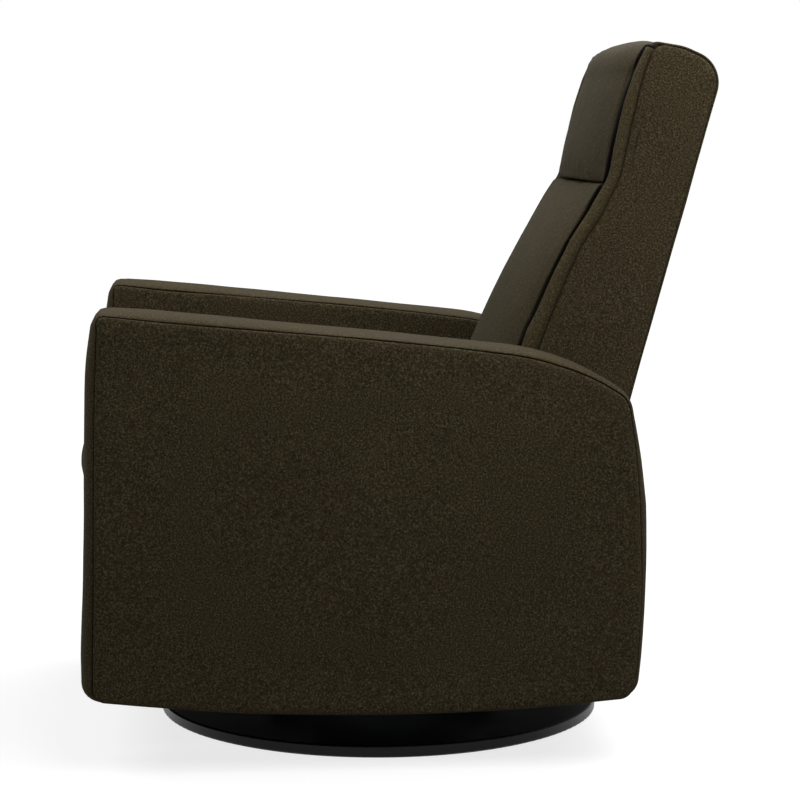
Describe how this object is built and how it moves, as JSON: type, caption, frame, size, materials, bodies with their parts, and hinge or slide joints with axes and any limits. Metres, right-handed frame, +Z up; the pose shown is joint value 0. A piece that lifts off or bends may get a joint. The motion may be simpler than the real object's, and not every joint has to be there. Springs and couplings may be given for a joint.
{
  "type": "swivel rocking chair",
  "caption": "Upholstered armchair with box arms and a tall split back on a round swivel base; it turns, rocks on springs, and its back reclines as a padded legrest swings out.",
  "frame": {"origin": "on the floor under the swivel axis, at the centre of the floor pad's underside", "axes": "+Z up, the sitter faces -Y, the sitter's left hand is at +X"},
  "size_m": [0.78, 0.9027, 1.004],
  "materials": {
    "floor_pad": "matte",
    "black_metal": "satin",
    "frame_metal": "satin",
    "steel": "satin",
    "nylon": "matte",
    "timber": "matte",
    "panel_fabric": "matte",
    "band_fabric": "matte",
    "cushion_fabric": "matte",
    "black_cloth": "matte"
  },
  "bodies": {
    "base": {"floor_pad": "floor_pad", "base_disc": "black_metal", "lower_race": "steel", "race_screws": "steel", "bearing_balls": "steel", "ball_cage": "nylon", "king_bolt": "steel", "king_nut": "steel"},
    "cradle": {"upper_race": "steel", "swivel_plate": "frame_metal", "king_bush": "nylon", "swivel_screws": "steel", "pivot_towers": "frame_metal", "pivot_bushes": "nylon", "rock_springs": "steel"},
    "chassis": {"rock_shaft": "steel", "shaft_collars": "steel", "rocker_rails": "frame_metal", "cross_tubes": "frame_metal", "front_beam": "timber", "rear_beam": "timber", "dust_covers": "black_cloth", "left_arm_band": "band_fabric", "right_arm_band": "band_fabric", "left_arm_outer_panel": "panel_fabric", "right_arm_outer_panel": "panel_fabric", "left_arm_inner_panel": "panel_fabric", "right_arm_inner_panel": "panel_fabric", "left_arm_frame": "timber", "right_arm_frame": "timber", "arm_base_boards": "timber", "beam_bolts": "steel", "side_plates": "frame_metal", "side_plate_bolts": "steel", "recline_pins": "steel", "legrest_pins": "steel", "seat_frame": "timber", "seat_screws": "steel", "seat_springs": "steel", "seat_cushion": "cushion_fabric", "rear_panel_board": "timber", "rear_panel_pad": "panel_fabric"},
    "back": {"back_stiles": "timber", "hinge_plates": "frame_metal", "hinge_bolts": "steel", "back_rails": "timber", "back_webbing": "black_cloth", "drive_levers": "frame_metal", "lever_pins": "steel", "left_back_side": "panel_fabric", "right_back_side": "panel_fabric", "back_rear_cover": "panel_fabric", "lumbar_cushion": "cushion_fabric", "headrest_cushion": "cushion_fabric"},
    "drive_rods": {"drive_rods": "frame_metal"},
    "legrest": {"legrest_tube": "steel", "legrest_board": "timber", "legrest_pad": "cushion_fabric", "crank_brackets": "frame_metal", "crank_pins": "steel"}
  },
  "joints": [
    {"name": "swivel", "type": "hinge", "parent": "base", "child": "cradle", "pos_m": [0, 0, 0], "axis": [0, 0, 1], "continuous": true},
    {"name": "rock", "type": "hinge", "parent": "cradle", "child": "chassis", "pos_m": [0, 0, 0.15], "axis": [1, 0, 0], "range_deg": [-8, 8], "stiffness_Nm_per_rad": 700, "springref_deg": -0.44, "deforming": ["rock_springs"]},
    {"name": "recline", "type": "hinge", "parent": "chassis", "child": "back", "pos_m": [0, 0.19, 0.42], "axis": [-1, 0, 0], "range_deg": [0, 30]},
    {"name": "legrest", "type": "hinge", "parent": "chassis", "child": "legrest", "pos_m": [0, -0.404, 0.314], "axis": [-1, 0, 0], "range_deg": [0, 80]},
    {"name": "rod_swing", "type": "hinge", "parent": "back", "child": "drive_rods", "pos_m": [0, 0.22365, 0.29443], "axis": [-1, 0, 0], "range_deg": [-30, 0]}
  ],
  "couplings": [
    {"joint": "legrest", "follows": "recline", "ratio": 2.6667},
    {"joint": "rod_swing", "follows": "recline", "ratio": -1}
  ]
}
